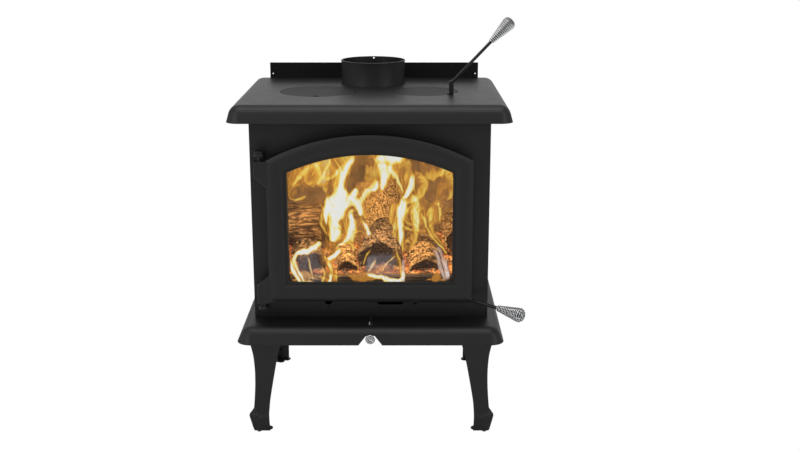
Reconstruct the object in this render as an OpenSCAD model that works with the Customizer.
// Free-standing wood stove: a plate-steel firebox on four cast legs, with an arched glass door,
// two lift-out cook lids, a flue collar and wound coil grips.
// All dimensions are in millimetres. +Z is up and the door faces -Y.
// The pieces are drawn about the stove's own middle plane (X = 0), its front plate (Y = 0)
// and the floor (Z = 0). placed() then moves them to the row's origin.

/* [Body] */
// Width over the two side plates
body_w = 540; // [530:1:550]
// Depth from the front plate to the outside of the back plate
body_d = 430; // [428:1:432]
// Thickness of the body plates
plate_t = 6; // [5:0.5:7]
// Height of the base plate's upper face above the floor
base_z = 281; // [279:1:283]
// Height of the top plate's upper face above the floor
top_z = 781; // [776:1:786]
// Thickness of the top and base plates
cast_t = 8; // [7:0.5:9]

/* [Top plate] */
// Half the width of the flat part of the top
top_half = 286.3; // [284:0.1:289]
// Where the flat part of the top ends in front of the front plate
top_front = 22; // [20:1:24]
// Back edge of the top and base plates
plate_back = 443; // [441:1:445]
// Outside radius of the bend into the skirt
bend_r = 25; // [22:1:28]
// Height of the top plate's skirt
top_skirt = 38; // [34:1:42]
// How far the skirt of the top flares from upright, in degrees
top_flare = 16; // [12:1:20]

/* [Cook lids] */
// Diameter of the left lid
lid_left_d = 178; // [176:1:179]
// Diameter of the right lid
lid_right_d = 152; // [150:1:154]
// Distance of each lid's centre from the middle
lid_x = 127; // [125:1:129]
// Distance of each lid's centre behind the front plate
lid_y = 189; // [186:1:192]

/* [Flue] */
// Outside diameter of the flue collar
flue_od = 158.75; // [157:0.25:160]
// Wall of the flue collar
flue_wall = 3; // [2.5:0.5:3.5]
// Height of the collar's rim above the top
flue_rise = 58; // [50:1:64]
// Distance of the flue's axis behind the front plate
flue_y = 340; // [338:1:341]

/* [Door] */
// Width of the door
door_w = 460; // [459:1:461]
// Height of the door's lower edge above the floor
door_z0 = 333; // [332:1:334]
// Height of the top of the door's arch above the floor
door_apex = 716.5; // [715:0.5:718]
// Radius of the arch
arch_r = 488; // [486:1:490]
// Width of the door frame
frame_w = 45; // [44:0.5:46]
// Distance of the hinge axis from the middle
hinge_x = 245; // [244.5:0.5:245.5]
// Radius of the hinge pins
pin_r = 6.5; // [6:0.25:6.5]

/* [Legs] */
// Wall of the hollow legs
leg_wall = 10; // [9:0.5:12]

/* [Air control] */
// Height of the air rod above the floor
rod_z = 259.5; // [259:0.5:260]
// Diameter of the air rod
rod_d = 7; // [6.5:0.5:7]

/* [Coil grips] */
// Thickness of the spring wire
wire_d = 2.8; // [2.6:0.1:3]
// Pitch of the turns, measured along the coil's outline
coil_pitch = 4.5; // [4.3:0.1:5]

/* [Hidden] */
$fn = 64;

// Place of the drawing's zero in the row's frame
centre_x = -17;
centre_y = -168;

// Colours
iron = [0.13, 0.13, 0.14];
steel = [0.16, 0.16, 0.17];
chrome = [0.82, 0.83, 0.85];
zinc = [0.62, 0.63, 0.65];
brick = [0.79, 0.69, 0.52];
fibre = [0.88, 0.87, 0.83];
rope = [0.3, 0.3, 0.31];
glass = [0.75, 0.7, 0.62, 0.35];

// Body
half = body_w / 2;
in_half = half - plate_t;
under_top = top_z - cast_t;
under_base = base_z - cast_t;
floor_z = 340;
brick_z = floor_z + plate_t;
brick_t = 32;
back_in = body_d - plate_t;

// Base plate
base_half = 271;
base_front = 61;
base_skirt = 35.5;
base_flare = 25;

// Air control: the slot for its pin, the inlet in the base plate, and the damper below that
slot_front = -52;
slot_back = -14;
slot_w = 8.6;
inlet_y = [183, 213];
damper_y = [130, 215];

// Door: every face is a distance in front of the front plate
arch_cz = door_apex - arch_r;
surround_y = 20;
door_back = 22;
flange_y = 36;
crown_w = 39;
edge_v = 5;
crown_v = 5;
lip_v = 2.5;
rear_inset = 10;
opening_inset = 43;
glass_y = 34;
glass_t = 5;
clip_y = glass_y - glass_t;
hinge_y = 33;
ear_r = 13;
ear_face = 43;
ear_root = 217;
ear_bevel = 3;
upper_ear_z = 657;
lower_ear_z = 326.8;

// Latch bar: it turns on its own axis, under the back of the door
bar_d = 8.2;
bar_y = 29;
bar_z = 331;
bar_left = -6;
bar_bend = 235;
handle_out = 38;
handle_drop = 4;
handle_dir = [cos(handle_drop) * cos(handle_out), -cos(handle_drop) * sin(handle_out), -sin(handle_drop)];
handle_len = 65;

// Coil grips of the latch bar and the lifter: each holds the end of its bar and goes on past it
grip_len = 68;
grip_r = 15.2;
grip_nose = 11;
grip_hold = 6;
core_d = 6.4;
core_len = 46;

// Lid lifter: an upright post, then a rod that leans out to the right
lift_turn = -42.5;
lift_reach = 80.5;
lift_lean = 43.6;
lift_post = [lid_x + lift_reach * cos(lift_turn), lid_y + lift_reach * sin(lift_turn), 808];
lift_dir = [sin(lift_lean), 0, cos(lift_lean)];
lift_len = 129;
lift_d = 7.2;

// ---------------------------------------------------------------- helpers

// Moves the drawing's zero to the row's origin
module placed() translate([centre_x, centre_y, 0]) children();

// A plate cut to a shape drawn in X and Z, from y0 in front to y1 behind
module upright(y0, y1) {
    translate([0, y1, 0]) rotate([90, 0, 0]) linear_extrude(y1 - y0) children();
}

// A plate cut to a shape drawn in Y and Z, from x0 to x1
module sideways(x0, x1) {
    translate([x0, 0, 0]) rotate([90, 0, 90]) linear_extrude(x1 - x0) children();
}

// A box between two corners
module block(low, high) translate(low) cube(high - low);

// Both sides of the stove's middle plane
module both_sides() for (m = [0, 1]) mirror([m, 0, 0]) children();

// Turns what is drawn along +Z to lie along a unit direction from a point
module along(from, dir) {
    translate(from) rotate([0, acos(dir[2]), atan2(dir[1], dir[0])]) children();
}

// A round bar that is bent once: it runs from a start point along d0 to the corner, then along d1
module bent_bar(corner, d0, len0, d1, len1, d) {
    r = 1.8 * d;
    turn = acos(d0 * d1);
    cut = r * tan(turn / 2);
    inward = (d1 - (d0 * d1) * d0) / sin(turn);
    axis = cross(d0, inward);
    middle = corner - d0 * cut + inward * r;
    // the bend swells a little, and the straight parts run on into it
    swell = 0.3;
    into = 0.8;
    along(corner - d0 * len0, d0) cylinder(d = d, h = len0 - cut + into);
    multmatrix([
        [-inward[0], d0[0], axis[0], middle[0]],
        [-inward[1], d0[1], axis[1], middle[1]],
        [-inward[2], d0[2], axis[2], middle[2]]
    ]) rotate_extrude(angle = turn) translate([r, 0]) circle(d = d + swell, $fn = 48);
    along(corner + d1 * (cut - into), d1) cylinder(d = d, h = len1 - cut + into);
}

// The core inside a coil grip, at the end of its bar
module grip_core(from, dir, length) {
    into = 2;
    along(from + dir * (length - into), dir) cylinder(d = core_d, h = core_len + into);
}

// A hexagon bolt with its head below z and its shank above, or a nut where length is 0
module hex_bolt(d, length) {
    head_h = 0.65 * d;
    translate([0, 0, -head_h]) cylinder(d = 1.9 * d, h = head_h, $fn = 6);
    if (length > 0) cylinder(d = d, h = length, $fn = 32);
}

// Outline of a plate that bends down into a flared skirt, from the edge of its flat part
function skirt_side(r, t, drop, flare) =
    let (turn = 90 - flare, end = r * (1 - cos(turn)), run = drop - end)
    concat(
        [for (i = [0:6]) let (a = turn * i / 6) [r * sin(a), -r * (1 - cos(a))]],
        [[r * sin(turn) + run * tan(flare), -drop]],
        [[r * sin(turn) + run * tan(flare) - t / cos(flare), -drop]],
        [for (i = [6:-1:0]) let (a = turn * i / 6) [(r - t) * sin(a), -t - (r - t) * (1 - cos(a))]]
    );

// A flat plate with a skirt along its front and sides, its corners turned about the flat's corners
module skirted_plate(z, w, front, back, t, drop, flare) {
    side = skirt_side(bend_r, t, drop, flare);
    block([-w, -front, z - t], [w, back, z]);
    both_sides() {
        translate([w, back, z]) rotate([90, 0, 0]) linear_extrude(back + front) polygon(side);
        translate([w, -front, z]) rotate([0, 0, -90]) rotate_extrude(angle = 90) polygon(side);
    }
    translate([-w, -front, z]) rotate([90, 0, -90]) mirror([0, 0, 1]) linear_extrude(2 * w) polygon(side);
}

// Outline of the door in X and Z, with its edges moved in
module door_shape(inset) {
    intersection() {
        translate([0, arch_cz]) circle(r = arch_r - inset, $fn = 180);
        translate([inset - door_w / 2, door_z0 + inset]) square([door_w - 2 * inset, arch_r]);
    }
}

// A flat band that follows the door's outline between two insets
module door_ring(outer, inner) {
    difference() {
        door_shape(outer);
        door_shape(inner);
    }
}

// Sweeps a section round the door, with mitred corners. The section's x is the distance in from
// the door's edge, and its y is how far it stands forward of y0.
module round_door(y0) {
    w = door_w / 2;
    spring = arch_cz + sqrt(pow(arch_r, 2) - pow(w, 2));
    low = 60;
    arch_in = arch_cz + sqrt(pow(arch_r - low, 2) - pow(w - low, 2));
    slope = (spring - arch_in) / low;
    out = 12;
    intersection() {
        upright(-80, 0) polygon([
            [-w - out, door_z0 - out], [w + out, door_z0 - out],
            [w - low, door_z0 + low], [low - w, door_z0 + low]
        ]);
        translate([-w - out, y0, door_z0]) rotate([180, -90, 0]) linear_extrude(2 * (w + out)) children();
    }
    both_sides() intersection() {
        upright(-80, 0) polygon([
            [w + out, door_z0 - out], [w + out, spring + slope * out],
            [w - low, arch_in], [w - low, door_z0 + low]
        ]);
        translate([w, y0, door_z0 - out]) rotate([0, 0, 180]) linear_extrude(400) children();
    }
    intersection() {
        upright(-80, 0) polygon([
            [-w - out, spring + slope * out], [low - w, arch_in], [w - low, arch_in],
            [w + out, spring + slope * out], [w + out, door_apex + out], [-w - out, door_apex + out]
        ]);
        translate([0, y0, arch_cz]) rotate([90, 0, 0]) rotate([0, 0, 55])
            rotate_extrude(angle = 70, $fn = 180) translate([arch_r, 0]) mirror([1, 0]) children();
    }
}

// ---------------------------------------------------------------- coil grips

// A point of the coil's outline at a distance s along it: [along the axis, radius]. The outline
// is a cone, then a rounded shoulder, then the flat end.
function grip_point(s, length, r0, r1, nose) =
    let (
        lean = norm([length - nose, r1 - r0]),
        shoulder = nose * PI / 2,
        turn = (s - lean) / nose * 180 / PI
    )
    s < lean ? [s / lean * (length - nose), r0 + (r1 - r0) * s / lean]
    : s < lean + shoulder ? [length - nose + nose * sin(turn), r1 - nose * (1 - cos(turn))]
    : [length, r1 - nose - (s - lean - shoulder)];

// A conical grip wound from wire: it starts at radius r0, widens to r1, turns over a rounded
// shoulder and closes in a flat spiral
module wound_grip(length, r0, r1, nose, wire, pitch = coil_pitch) {
    sides = 6;
    steps = 12;
    end_r = 3;
    path = norm([length - nose, r1 - r0]) + nose * PI / 2 + r1 - nose - end_r;
    rings = floor(path / pitch * steps);
    points = [for (i = [0:rings])
        let (
            p = grip_point(path * i / rings, length, r0, r1, nose),
            q = grip_point(path * i / rings + 0.05, length, r0, r1, nose),
            len = norm(q - p),
            along = (q - p) / len,
            a = 360 * i / steps
        )
        for (k = [0:sides - 1])
            let (
                b = 360 * k / sides,
                x = p[0] + wire / 2 * (along[0] * cos(b) - along[1] * sin(b)),
                r = p[1] + wire / 2 * (along[1] * cos(b) + along[0] * sin(b))
            )
            [r * cos(a), r * sin(a), x]];
    faces = concat(
        [[for (k = [0:sides - 1]) k]],
        [for (i = [0:rings - 1]) for (k = [0:sides - 1])
            let (n = (k + 1) % sides)
            each [
                [i * sides + n, i * sides + k, (i + 1) * sides + k],
                [i * sides + n, (i + 1) * sides + k, (i + 1) * sides + n]
            ]],
        [[for (k = [sides - 1:-1:0]) rings * sides + k]]
    );
    polyhedron(points = points, faces = faces, convexity = 10);
}

// ---------------------------------------------------------------- body

module base_plate() {
    bolt_depth = 6;
    color(iron) placed() difference() {
        skirted_plate(base_z, base_half, base_front, plate_back, cast_t, base_skirt, base_flare);
        // notch in the front skirt for the air rod
        upright(-base_front - 60, -base_front + 2) polygon([[-28.4, 244], [28.4, 244], [9.8, 264.7], [-9.8, 264.7]]);
        // slot that the air rod's guide pin runs in
        for (y = [slot_back, slot_front]) translate([0, y, under_base - 1]) cylinder(d = slot_w, h = cast_t + 2);
        block([-slot_w / 2, slot_front, under_base - 1], [slot_w / 2, slot_back, base_z + 1]);
        // air inlet above the damper
        block([-50, inlet_y[0], under_base - 1], [50, inlet_y[1], base_z + 1]);
        // blind holes for the leg bolts
        both_sides() leg_bolt_places() translate([0, 0, under_base - 1]) cylinder(r = 4.05, h = bolt_depth + 1);
    }
}

// Air holes in the front plate, below the door
module low_air_holes() {
    z = 320;
    r = 9;
    translate([-98.5, z]) circle(r = r);
    for (x = [22, 67]) translate([x, z]) circle(r = r);
    translate([22, z - r]) square([45, 2 * r]);
    translate([103, z - 6]) circle(r = 3);
}

module front_plate() {
    color(steel) placed() upright(0, plate_t) difference() {
        translate([-half, base_z]) square([body_w, under_top - base_z]);
        door_shape(opening_inset);
        low_air_holes();
    }
}

module side_plate() block([in_half, plate_t, base_z], [half, body_d, under_top]);

module side_plate_left() color(steel) placed() mirror([1, 0, 0]) side_plate();

module side_plate_right() color(steel) placed() side_plate();

module back_plate() {
    color(steel) placed() difference() {
        block([-in_half, back_in, base_z], [in_half, body_d, under_top]);
        shield_fixings() rotate([-90, 0, 0]) translate([0, 0, -20]) cylinder(d = 6.2, h = 30);
    }
}

// A lid's opening in the top
module lid_opening(x, d) translate([x, lid_y, under_top - 1]) cylinder(d = d + 3, h = cast_t + 2, $fn = 96);

module top_plate() {
    color(iron) placed() difference() {
        skirted_plate(top_z, top_half, top_front, plate_back, cast_t, top_skirt, top_flare);
        lid_opening(-lid_x, lid_left_d);
        lid_opening(lid_x, lid_right_d);
        translate([0, flue_y, under_top - 1]) cylinder(d = flue_od, h = cast_t + 2, $fn = 96);
    }
}

// Ring under the top that carries a lid on its ledge
ring_t = 8;
module lid_ring(x, d) {
    color(steel) placed() translate([x, lid_y, under_top - ring_t]) difference() {
        cylinder(d = d + 24, h = ring_t, $fn = 96);
        translate([0, 0, -1]) cylinder(d = d - 14, h = ring_t + 2, $fn = 96);
    }
}

module lid_ring_left() lid_ring(-lid_x, lid_left_d);

module lid_ring_right() lid_ring(lid_x, lid_right_d);

module flue_collar() {
    hole_z = top_z + flue_rise - 4;
    waist = 1.2;
    // the wall draws in a little between its foot and its rolled rim
    wall = [for (i = [0:12]) [flue_od / 2 - waist * (1 - pow(i / 6 - 1, 2)), top_z + (flue_rise - 3) * i / 12]];
    rim = [for (a = [-90:30:90]) [flue_od / 2 - 0.7 + 1.5 * cos(a), top_z + flue_rise - 1.5 + 1.5 * sin(a)]];
    color(steel) placed() translate([0, flue_y, 0]) difference() {
        rotate_extrude($fn = 96) polygon(concat([[0, under_top], [flue_od / 2, under_top]], wall, rim, [[0, top_z + flue_rise]]));
        translate([0, 0, under_top - 1]) cylinder(d = flue_od - 2 * flue_wall, h = cast_t + flue_rise + 2, $fn = 96);
        for (a = [90, 210, 330]) translate([0, 0, hole_z]) rotate([0, 90, a])
            translate([0, 0, flue_od / 2 - 8]) cylinder(d = 4.5, h = 16, $fn = 24);
        // the rolled collar's weld line
        block([-0.4, -flue_od / 2 - 1, top_z], [0.4, 0.4 - flue_od / 2, top_z + flue_rise + 1]);
    }
}

// The four places where the rear shield is screwed to the back plate
module shield_fixings() {
    for (x = [-200, 200], z = [380, 740]) translate([x, body_d, z]) children();
}

shield_y = plate_back + 0.5;
shield_t = 1.5;
shield_half = 269.5;

module rear_heat_shield() {
    low = 330;
    high = 820;
    flange = 9;
    color(steel) placed() difference() {
        union() {
            block([-shield_half, shield_y, low], [shield_half, shield_y + shield_t, high]);
            both_sides() block(
                [shield_half - shield_t, shield_y - flange, low],
                [shield_half, shield_y + 0.5, under_top - top_skirt]
            );
            // stiffening strip behind the top edge, and its rivets
            block([8 - shield_half, shield_y + shield_t - 0.1, 797], [shield_half - 8, shield_y + shield_t + 1.2, 817]);
            both_sides() for (p = [[201.5, 810.7], [256, 803.5]]) translate([p[0], shield_y + 0.2, p[1]])
                rotate([90, 0, 0]) cylinder(r1 = 2.6, r2 = 1.3, h = 1.2, $fn = 24);
        }
        shield_fixings() rotate([-90, 0, 0]) cylinder(d = 6.2, h = 30);
        both_sides() upright(shield_y - 5, shield_y + 5) {
            translate([262, 791.5]) circle(d = 3.2, $fn = 24);
        }
        // rows of cooling slots low on the sheet
        for (x = [-180:60:180], z = [420, 445, 470]) upright(shield_y - 1, shield_y + 5)
            translate([x - 20, z]) square([40, 6]);
    }
}

module shield_spacers() {
    color(zinc) placed() shield_fixings() rotate([-90, 0, 0]) difference() {
        cylinder(d = 14, h = shield_y - body_d, $fn = 32);
        translate([0, 0, -1]) cylinder(d = 6.4, h = 20, $fn = 32);
    }
}

module shield_screws() {
    reach = shield_y + shield_t - back_in;
    color(zinc) placed() shield_fixings() translate([0, shield_y + shield_t - body_d, 0])
        rotate([90, 0, 0]) hex_bolt(6, reach);
}

// The four places where the bottom shield hangs
module bottom_fixings() {
    for (x = [-170, 170], y = [60, 370]) translate([x, y, 0]) children();
}

shield_z = 249;

module bottom_heat_shield() {
    color(steel) placed() difference() {
        block([-200, 20, shield_z], [200, 410, shield_z + shield_t]);
        bottom_fixings() translate([0, 0, shield_z - 1]) cylinder(d = 6.2, h = 5, $fn = 32);
        block([-60, inlet_y[0] - 18, shield_z - 1], [60, inlet_y[1] + 18, shield_z + 5]);
    }
}

module bottom_shield_screws() {
    color(zinc) placed() bottom_fixings() {
        translate([0, 0, shield_z]) hex_bolt(6, under_base - shield_z);
        translate([0, 0, shield_z + shield_t]) cylinder(d = 14, h = under_base - shield_z - shield_t, $fn = 32);
    }
}

module firebox_floor() {
    color(steel) placed() difference() {
        block([-in_half, plate_t, floor_z], [in_half, back_in, brick_z]);
        both_sides() block([238, 8.5, floor_z - 1], [260, 17, brick_z + 1]);
        both_sides() block([236, 396, floor_z - 1], [258, 418, brick_z + 1]);
    }
}

module door_surround() {
    color(iron) placed() upright(-surround_y, 0) door_ring(rear_inset, opening_inset);
}

// ---------------------------------------------------------------- legs

// Smooth curve through knots, n steps between each pair
function curve_at(a, b, c, d, t) =
    0.5 * (2 * b + (c - a) * t + (2 * a - 5 * b + 4 * c - d) * t * t + (3 * b - a - 3 * c + d) * t * t * t);
function smooth(knots, n) = [
    for (i = [0:len(knots) - 2]) for (j = [0:n - 1])
        curve_at(knots[max(i - 1, 0)], knots[i], knots[i + 1], knots[min(i + 2, len(knots) - 1)], j / n),
    knots[len(knots) - 1]
];

leg_axis = 250;
leg_foot_z = 3;
screw_in = -17;

// Outline of one wing of a leg: x grows outwards from the leg's axis, y is the height.
// in cuts the outer edge back, to make the hollow behind the wall.
module leg_wing(in, reach) {
    outer = smooth([
        [20.5, under_base], [28.5, 266], [32.5, 250], [31.5, 232], [27.8, 213],
        [24.4, 192], [22.2, 158], [22.6, 120], [24.8, 84], [27, 61]
    ], 3);
    inner = smooth([[-8.5, 30], [-9.6, 66], [-13.8, 96], [-21.8, 141], [-30.3, 185], [-41.8, 232], [-49, under_base]], 3);
    foot = [[36.2, 52], [36.7, 49.5], [36.3, 46], [28.8, 11], [26.5, 5.5], [22, leg_foot_z]];
    polygon(concat(
        [for (p = concat(outer, foot)) p - [in, 0]],
        reach > 0 ? [[-reach, leg_foot_z], [-reach, under_base]] : concat([[-9, leg_foot_z]], inner)
    ));
}

// Scoop over the front of a foot: its rim drops away from the foot's corner
module foot_scoop() {
    translate([-37.5, -47, 58]) rotate([0, 90, 0]) {
        cylinder(r1 = 9, r2 = 20, h = 20.5, $fn = 64);
        translate([0, 0, 20.4]) cylinder(r = 20, h = 40, $fn = 64);
    }
}

// An L-shaped cast leg, its corner towards -X and -Y, open on the inside
module leg() {
    pad_t = 8;
    translate([-leg_axis, 0, 0]) difference() {
        union() {
            difference() {
                intersection() {
                    mirror([1, 0, 0]) upright(-60, 90) leg_wing(0, 0);
                    mirror([0, 1, 0]) sideways(-60, 90) leg_wing(0, 0);
                }
                intersection() {
                    mirror([1, 0, 0]) upright(-80, 120) translate([0, -1]) scale([1, 1.01]) leg_wing(leg_wall, 100);
                    mirror([0, 1, 0]) sideways(-80, 120) translate([0, -1]) scale([1, 1.01]) leg_wing(leg_wall, 100);
                }
            }
            block([-20.5, -20.5, under_base - pad_t], [46, 46, under_base]);
            // round toes at the foot's two ends, and the boss of the levelling screw
            for (p = [[4.2, -10.5], [-10.5, 4.2]]) translate([p[0], p[1], 0]) rotate_extrude($fn = 48)
                polygon([[0, 3], [8.5, 3], [10.5, 4.5], [10.5, 6], [9.5, 7], [0, 8.5]]);
            translate([screw_in, screw_in, leg_foot_z]) cylinder(r = 6.4, h = 27, $fn = 32);
        }
        for (p = [[30, -4], [-4, 30]]) translate([p[0], p[1], under_base - pad_t - 1])
            cylinder(r = 4.5, h = pad_t + 2, $fn = 32);
        translate([screw_in, screw_in, leg_foot_z - 1]) cylinder(r = 3.1, h = 30, $fn = 32);
        foot_scoop();
        mirror([1, -1, 0]) foot_scoop();
    }
}

// The front legs' place, and the rear legs' as its mirror image
leg_mid_y = 210;
module at_leg(right, rear) {
    mirror([right, 0, 0]) translate([0, rear * 2 * leg_mid_y, 0]) mirror([0, rear, 0]) children();
}

module leg_front_left() color(iron) placed() at_leg(0, 0) leg();

module leg_front_right() color(iron) placed() at_leg(1, 0) leg();

module leg_rear_left() color(iron) placed() at_leg(0, 1) leg();

module leg_rear_right() color(iron) placed() at_leg(1, 1) leg();

// Bolt places of the two legs on the left side
module leg_bolt_places() {
    for (rear = [0, 1], p = [[30, -4], [-4, 30]])
        translate([0, rear * 2 * leg_mid_y, 0]) mirror([0, rear, 0])
            translate([-leg_axis + p[0], p[1], 0]) children();
}

module leg_bolts() {
    color(zinc) placed() both_sides() leg_bolt_places() translate([0, 0, under_base - 8]) hex_bolt(8, 13.5);
}

module levelling_screws() {
    color(zinc) placed() both_sides() for (rear = [0, 1]) at_leg(0, rear)
        translate([-leg_axis + screw_in, screw_in, 0]) {
            cylinder(d = 9, h = leg_foot_z, $fn = 32);
            cylinder(d = 6, h = 28, $fn = 32);
        }
}

// ---------------------------------------------------------------- firebox lining

brick_w = 114;
brick_l = 229;
joint = 1;
lining_top = 666;
lining_front = 20;
riser_y = 390;

// Where each brick of a course starts, when it is laid from 0 with a joint after each one
function course(widths) = [for (i = 0, x = 0; i < len(widths); x = x + widths[i] + joint, i = i + 1) x];

module floor_bricks() {
    wide = 460;
    long = [brick_l, riser_y - lining_front - brick_l - 2 * joint];
    starts = course(long);
    color(brick) placed() for (i = [0:3], j = [0:1]) {
        x = -wide / 2 + i * (brick_w + joint) + joint / 2;
        y = lining_front + starts[j];
        block([x, y, brick_z], [x + brick_w, y + long[j], brick_z + brick_t]);
    }
}

module side_bricks() {
    widths = [brick_w, brick_w, brick_w, riser_y - lining_front - 3 * brick_w - 4 * joint];
    starts = course(widths);
    for (i = [0:3]) {
        y = lining_front + starts[i];
        block([in_half - brick_t, y, brick_z], [in_half, y + widths[i], brick_z + brick_l]);
        block([in_half - brick_t, y, brick_z + brick_l + joint], [in_half, y + widths[i], lining_top]);
    }
}

module side_bricks_left() color(brick) placed() mirror([1, 0, 0]) side_bricks();

module side_bricks_right() color(brick) placed() side_bricks();

module back_bricks() {
    color(brick) placed() for (i = [0:3]) {
        x = -230 + i * (brick_w + joint) + joint / 2;
        block([x, back_in - brick_t, brick_z], [x + brick_w, back_in, brick_z + brick_l]);
        block([x, back_in - brick_t, brick_z + brick_l + joint], [x + brick_w, back_in, lining_top]);
    }
}

module back_brick_rail() {
    color(steel) placed() {
        block([-230, back_in - brick_t - 4, lining_top], [230, back_in, lining_top + 4]);
        block([-230, back_in - brick_t - 4, lining_top - 20], [230, back_in - brick_t, lining_top + 1]);
    }
}

module ash_fence() {
    color(steel) placed() {
        block([-225, 9, brick_z], [225, lining_front - 0.5, brick_z + 4]);
        block([-225, 9, brick_z], [225, 13, 372]);
    }
}

// ---------------------------------------------------------------- air system

tube_z = 687;
tube_d = 25;
tube_ys = [120, 200, 280, 360];
channel_in = 232;
channel_front = 42;
channel_t = 2;

module air_tubes() {
    reach = channel_in + channel_t;
    color(steel) placed() for (y = tube_ys) translate([-reach, y, tube_z]) rotate([0, 90, 0]) difference() {
        cylinder(d = tube_d, h = 2 * reach, $fn = 48);
        translate([0, 0, -1]) cylinder(d = tube_d - 3, h = 2 * reach + 2, $fn = 48);
        // jets that blow forwards and down
        for (i = [0:9]) translate([0, 0, reach + (i - 4.5) * 42]) rotate([-90, 0, 125])
            cylinder(d = 4, h = tube_d, $fn = 24);
    }
}

// Square channel along the side wall that feeds the tubes
module tube_channel() {
    low = lining_top + 6;
    difference() {
        block([channel_in, channel_front, low], [in_half, back_in, low + 30]);
        block([channel_in + channel_t, channel_front + 2, low + channel_t], [in_half - 2, back_in - 2, low + 28]);
        for (y = tube_ys) translate([channel_in - 1, y, tube_z]) rotate([0, 90, 0])
            cylinder(d = tube_d + 0.2, h = channel_t + 2, $fn = 48);
        block([channel_in + 4, riser_y + 6, low - 1], [in_half - 6, back_in - 6, low + channel_t + 1]);
    }
}

module tube_channel_left() color(steel) placed() mirror([1, 0, 0]) tube_channel();

module tube_channel_right() color(steel) placed() tube_channel();

module air_risers() {
    top = lining_top + 6;
    color(steel) placed() both_sides() difference() {
        block([channel_in, riser_y + 2, brick_z], [in_half - 2, back_in, top]);
        block([channel_in + 2, riser_y + 4, brick_z - 1], [in_half - 4, back_in - 2, top + 1]);
    }
}

board_z = tube_z + tube_d / 2;
board_t = 19;

module baffle_boards() {
    color(fibre) placed() both_sides()
        block([1, 95, board_z + 2.5], [in_half - 1, back_in - 1, board_z + 2.5 + board_t]);
}

module baffle_blanket() {
    low = board_z + 2.5 + board_t;
    color(fibre) placed() block([2 - in_half, 100, low], [in_half - 2, back_in - 1, low + 12]);
}

module airwash_channel() {
    color(steel) placed() {
        block([-262, plate_t, 716], [262, 40, 719]);
        block([-262, 37, 690], [262, 40, 717]);
    }
}

module airwash_ducts() {
    color(steel) placed() both_sides() difference() {
        block([236, plate_t, brick_z], [in_half - 2, lining_front - 1, 716]);
        block([238, plate_t + 2, brick_z - 1], [in_half - 4, lining_front - 3, 717]);
    }
}

damper_z = under_base - 2.5;
tab_y = damper_y[0] - 1;

module damper_guides() {
    color(zinc) placed() both_sides() {
        block([62, 115, damper_z - 2.5], [76, 235, under_base]);
        block([56, 115, damper_z - 2.5], [64, 235, damper_z - 0.5]);
    }
}

// Strap under the base plate that the air rod slides through
module rod_guide() {
    y = 20;
    color(zinc) placed() difference() {
        block([-14, y, rod_z - rod_d / 2 - 4], [14, y + 10, under_base]);
        translate([0, y - 1, rod_z]) rotate([-90, 0, 0]) cylinder(r = rod_d / 2 + 0.08, h = 12);
    }
}

// ---------------------------------------------------------------- hinges and latch

module at_hinge(z) translate([-hinge_x, -hinge_y, z]) children();

module hinge_bracket_upper() {
    low = 668.5;
    high = 675;
    color(iron) placed() difference() {
        union() {
            at_hinge(low) cylinder(r = 12, h = high - low);
            block([-hinge_x - 6, -hinge_y, low], [-hinge_x + 6, 0, high]);
            block([-hinge_x - 9, -6, low - 12], [-hinge_x + 9, 0, high]);
        }
        at_hinge(low - 1) cylinder(r = pin_r, h = high - low + 2);
    }
}

module hinge_bracket_lower() {
    low = 313;
    high = 321;
    color(iron) placed() difference() {
        union() {
            at_hinge(low) cylinder(r = 11, h = high - low);
            block([-hinge_x - 6, -hinge_y, low], [-hinge_x + 6, 0, high]);
            block([-hinge_x - 9, -6, low - 10], [-hinge_x + 9, 0, high]);
        }
        at_hinge(low + 2) cylinder(r = pin_r, h = high - low);
    }
}

module hinge_pin_upper() {
    color(iron) placed() {
        // turned down between the ear and the bracket, with a groove under the head
        at_hinge(614) cylinder(r = pin_r, h = upper_ear_z + 1 - 614);
        at_hinge(upper_ear_z) cylinder(r = 4, h = 12);
        at_hinge(668.5) cylinder(r = pin_r, h = 7);
        at_hinge(675) cylinder(r = 9.5, h = 1.4);
        at_hinge(676.2) cylinder(r = 11, h = 2.8);
        at_hinge(679) cylinder(r1 = 11, r2 = 9.8, h = 1);
    }
}

module hinge_pin_lower() {
    color(iron) placed() {
        at_hinge(315) cylinder(r = pin_r, h = 43);
        at_hinge(358) cylinder(r1 = pin_r, r2 = pin_r - 1.5, h = 1.5);
    }
}

module hinge_washer() {
    low = 321;
    color(steel) placed() difference() {
        at_hinge(low) cylinder(r = 7.8, h = lower_ear_z - low - 0.02);
        at_hinge(low - 1) cylinder(r = pin_r + 0.05, h = 9);
    }
}

// Hook under the surround that holds the latch nose
module latch_keeper() {
    under = door_z0 + rear_inset;
    color(iron) placed() sideways(-8, 8) polygon([
        [0, under], [0, under - 7], [-12, under - 7], [-16, under - 10], [-surround_y, under - 10], [-surround_y, under]
    ]);
}

// ---------------------------------------------------------------- door

// Section of the frame's crowned face: inset from the edge, height above the flange
function crown(u) = edge_v + crown_v * (1 - pow(abs(2 * u / crown_w - 1), 2.5));

module frame_section() {
    polygon(concat(
        [[0, 0]],
        [for (i = [0:14]) let (u = crown_w * i / 14) [u, crown(u)]],
        [[crown_w, lip_v], [frame_w, lip_v], [frame_w, 0]]
    ));
}

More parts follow.
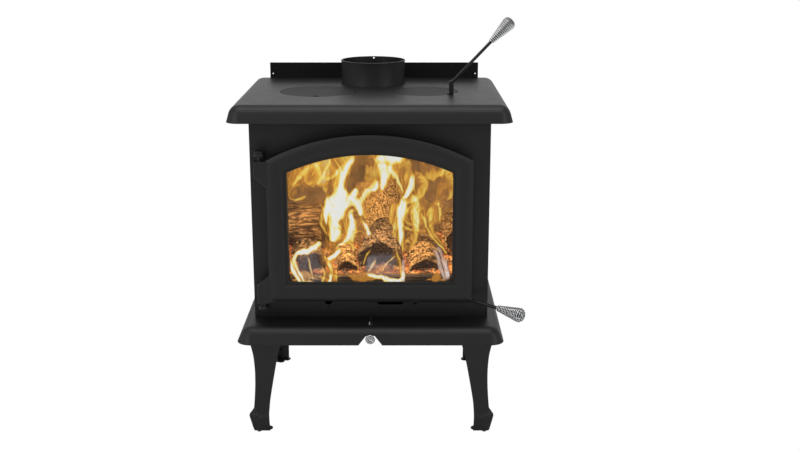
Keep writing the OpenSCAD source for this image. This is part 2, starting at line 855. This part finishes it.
// A hinge ear: a flat-faced lug that runs into the frame, cut to an outline in X and Z, with the
// edge between two of its corners bevelled in front
module ear(outline, from, to) {
    edge_x = -hinge_x - ear_r;
    run = to - from;
    difference() {
        intersection() {
            upright(-60, 0) polygon(outline);
            union() {
                at_hinge(300) cylinder(r = ear_r - 4, h = 400);
                block([edge_x, -ear_face, 300], [-ear_root, 4 - hinge_y, 700]);
                block([-hinge_x, -ear_face, 300], [-ear_root, -door_back, 700]);
            }
        }
        translate([edge_x, -ear_face, 500]) rotate([0, 0, 45]) cube([ear_bevel, ear_bevel, 450], center = true);
        translate([from[0], -ear_face, from[1]]) rotate([0, -atan2(run[1], run[0]), 0]) rotate([45, 0, 0])
            cube([3 * norm(run), ear_bevel, ear_bevel], center = true);
    }
}

module door_frame() {
    w = hinge_x + ear_r;
    side = door_w / 2 - 1;
    color(iron) placed() difference() {
        union() {
            round_door(-flange_y) frame_section();
            upright(-flange_y - 0.5, -door_back) door_ring(rear_inset, crown_w);
            ear(
                [[-w, upper_ear_z], [-ear_root, upper_ear_z], [-ear_root, 594], [-side, 597], [-w, 622]],
                [-w, 622], [-side, 597]
            );
            ear(
                [
                    [-w, lower_ear_z], [-236, lower_ear_z], [-ear_root, door_z0 + 1],
                    [-ear_root, 396], [-side, 394], [-w, 368]
                ],
                [-w, 368], [-side, 394]
            );
        }
        // channel for the rope
        upright(-30, -door_back + 1) door_ring(13, 23);
        // step for the glass clips
        upright(-clip_y, -door_back + 1) door_ring(26, crown_w + 1);
        // room for the glass
        upright(-flange_y, -door_back + 1) door_shape(crown_w);
        at_hinge(600) cylinder(r = pin_r + 0.05, h = 60);
        at_hinge(lower_ear_z - 1) cylinder(r = pin_r + 0.05, h = 35);
        clip_places() translate([0, -4, 0]) rotate([-90, 0, 0]) cylinder(r = 2.05, h = 5, $fn = 24);
    }
}

module door_glass() {
    color(glass) placed() upright(-glass_y, -clip_y) door_shape(crown_w + 1.5);
}

module glass_gasket() {
    color(fibre) placed() upright(-flange_y, -glass_y) door_ring(crown_w + 1.5, frame_w - 0.5);
}

// The six places of the glass clips, on the step behind the frame
module clip_places() {
    side_x = door_w / 2 - 32;
    for (x = [-side_x, side_x], z = [430, 560]) translate([x, -clip_y, z]) children();
    for (x = [-90, 90]) translate([x, -clip_y, door_z0 + 32]) rotate([0, 90, 0]) children();
}

module glass_clips() {
    color(zinc) placed() {
        for (side = [-1, 1], z = [430, 560]) difference() {
            x = side * (door_w / 2 - 36);
            block([x - 8, -clip_y, z - 12], [x + 8, -clip_y + 2, z + 12]);
            translate([side * (door_w / 2 - 32), -clip_y - 1, z]) rotate([-90, 0, 0]) cylinder(r = 2.6, h = 4, $fn = 24);
        }
        for (x = [-90, 90]) difference() {
            block([x - 12, -clip_y, door_z0 + 27], [x + 12, -clip_y + 2, door_z0 + 42]);
            translate([x, -clip_y - 1, door_z0 + 32]) rotate([-90, 0, 0]) cylinder(r = 2.6, h = 4, $fn = 24);
        }
    }
}

module glass_clip_screws() {
    color(zinc) placed() clip_places() {
        translate([0, -3.5, 0]) rotate([-90, 0, 0]) cylinder(r = 2, h = 5.5, $fn = 24);
        translate([0, 2, 0]) rotate([-90, 0, 0]) cylinder(r1 = 4, r2 = 3, h = 2.2, $fn = 24);
    }
}

module door_rope_gasket() {
    color(rope) placed() round_door(-surround_y - 0.3) translate([18, 4.7]) circle(r = 4.7, $fn = 12);
}

// Two eyes under the back of the door that the latch bar turns in
module latch_bearings() {
    under = door_z0 + rear_inset;
    color(iron) placed() for (x = [103, 200]) difference() {
        union() {
            translate([x - 4, -bar_y, bar_z]) rotate([0, 90, 0]) cylinder(d = bar_d + 4.6, h = 8);
            block([x - 4, -bar_y - 6, bar_z], [x + 4, -bar_y + 6, under]);
        }
        translate([x - 5, -bar_y, bar_z]) rotate([0, 90, 0]) cylinder(d = bar_d + 0.1, h = 10);
    }
}

module latch_bar() {
    bend = [bar_bend, -bar_y, bar_z];
    color(iron) placed() {
        bent_bar(bend, [1, 0, 0], bar_bend - bar_left, handle_dir, handle_len + grip_hold, bar_d);
        grip_core(bend, handle_dir, handle_len + grip_hold);
        // the nose that catches behind the keeper
        sideways(bar_left, bar_left + 8) polygon([
            [-bar_y, bar_z - 4], [-14, bar_z - 6.5], [-7, bar_z - 6.5], [-7, bar_z + 1], [-14, bar_z + 1],
            [-15, bar_z - 1], [-bar_y, bar_z - 1]
        ]);
        // collars that keep the bar in its eyes
        for (x = [92, 211]) translate([x - 3, -bar_y, bar_z]) rotate([0, 90, 0]) cylinder(d = bar_d + 4, h = 6);
    }
}

module handle_coil() {
    bend = [bar_bend, -bar_y, bar_z];
    color(chrome) placed() along(bend + handle_dir * (handle_len + wire_d / 2), handle_dir)
        wound_grip(grip_len, (bar_d + wire_d) / 2 - 0.1, grip_r, grip_nose, wire_d);
}

// ---------------------------------------------------------------- air control

rod_front = -86.4;

module air_rod() {
    back = 146;
    pin_y = slot_back - 3;
    color(zinc) placed() {
        translate([0, rod_front, rod_z]) rotate([-90, 0, 0]) cylinder(d = rod_d, h = back - rod_front);
        translate([0, rod_front - 6, rod_z]) rotate([-90, 0, 0]) cylinder(d = 3.4, h = 7);
        translate([0, pin_y, rod_z]) cylinder(d = 5, h = base_z + 6 - rod_z);
        // collars either side of the damper's tab
        for (y = [tab_y - 4, tab_y + 4]) translate([0, y, rod_z]) rotate([-90, 0, 0]) cylinder(d = 8.8, h = 4);
    }
}

module air_knob_coil() {
    wire = 2.4;
    color(chrome) placed() translate([0, rod_front - wire / 2 + 0.2, rod_z]) rotate([90, 0, 0])
        wound_grip(8, 4, 10, 3.5, wire, 3);
}

module damper_plate() {
    color(steel) placed() {
        block([-60, damper_y[0], damper_z], [60, damper_y[1], damper_z + 2]);
        difference() {
            block([-14, tab_y, rod_z - 6.5], [14, tab_y + 4, damper_z + 2]);
            translate([0, tab_y - 1, rod_z]) rotate([-90, 0, 0]) cylinder(d = rod_d + 0.4, h = 6);
        }
    }
}

// ---------------------------------------------------------------- cook lids and lifter

// A lid: a flat disc with a locating rim below and a notch in its edge for the lifter
module lid(d, notch_angle, notch_r, notch_in) {
    rim_h = 6;
    notch_z = top_z - 4.5;
    difference() {
        union() {
            translate([0, 0, under_top]) cylinder(d = d, h = cast_t, $fn = 96);
            difference() {
                translate([0, 0, under_top - rim_h]) cylinder(d = d - 18, h = rim_h + 1, $fn = 96);
                translate([0, 0, under_top - rim_h - 1]) cylinder(d = d - 28, h = rim_h + 1, $fn = 96);
            }
        }
        rotate([0, 0, notch_angle]) {
            block([d / 2 - notch_in, -notch_r, notch_z], [d / 2 + 2, notch_r, top_z + 1]);
            translate([d / 2 - notch_in, 0, notch_z]) cylinder(r = notch_r, h = 6, $fn = 32);
        }
    }
}

module lid_left() color(iron) placed() translate([-lid_x, lid_y, 0]) lid(lid_left_d, -90, 7, 8);

module lid_right() color(iron) placed() translate([lid_x, lid_y, 0]) lid(lid_right_d, lift_turn, 5.2, 2);

module lifter_rod() {
    foot_z = top_z - 4.5;
    post_z = top_z + 0.4;
    foot_t = 2.2;
    edge = lid_right_d / 2;
    color(iron) placed() {
        // tongue that sits in the lid's notch, and a thin foot over the lid's edge
        translate([lid_x, lid_y, 0]) rotate([0, 0, lift_turn]) {
            intersection() {
                translate([edge - 2.2, 0, foot_z]) cylinder(r = 4.5, h = post_z + foot_t - foot_z, $fn = 32);
                block([edge - 8, -5, foot_z - 1], [edge - 1, 5, post_z + 5]);
            }
            block([edge - 2.2, -4.5, foot_z], [edge - 1, 4.5, post_z + foot_t]);
            block([edge - 1.5, -4.5, post_z], [lift_reach + 2, 4.5, post_z + foot_t]);
        }
        // flat post with a round top, and the rod that leans out of it
        translate(lift_post) {
            block([-5.2, -4, post_z - lift_post[2]], [5.2, 4, 0]);
            translate([0, -4, 0]) rotate([-90, 0, 0]) cylinder(r = 5.2, h = 8, $fn = 48);
        }
        along(lift_post, lift_dir) cylinder(d = lift_d, h = lift_len + grip_hold);
        grip_core(lift_post, lift_dir, lift_len + grip_hold);
    }
}

module lifter_coil() {
    color(chrome) placed() along(lift_post + lift_dir * (lift_len + wire_d / 2), lift_dir)
        wound_grip(grip_len, (lift_d + wire_d) / 2 - 0.1, grip_r, grip_nose, wire_d);
}

// ---------------------------------------------------------------- nodes

base_plate();
front_plate();
side_plate_left();
side_plate_right();
back_plate();
top_plate();
lid_ring_left();
lid_ring_right();
flue_collar();
rear_heat_shield();
shield_spacers();
shield_screws();
bottom_heat_shield();
bottom_shield_screws();
firebox_floor();
door_surround();
leg_front_left();
leg_front_right();
leg_rear_left();
leg_rear_right();
leg_bolts();
levelling_screws();
floor_bricks();
side_bricks_left();
side_bricks_right();
back_bricks();
back_brick_rail();
ash_fence();
air_tubes();
tube_channel_left();
tube_channel_right();
air_risers();
baffle_boards();
baffle_blanket();
airwash_channel();
airwash_ducts();
damper_guides();
rod_guide();
hinge_bracket_upper();
hinge_bracket_lower();
hinge_pin_upper();
hinge_pin_lower();
hinge_washer();
latch_keeper();
door_frame();
door_glass();
glass_gasket();
glass_clips();
glass_clip_screws();
door_rope_gasket();
latch_bearings();
latch_bar();
handle_coil();
air_rod();
air_knob_coil();
damper_plate();
lid_left();
lid_right();
lifter_rod();
lifter_coil();
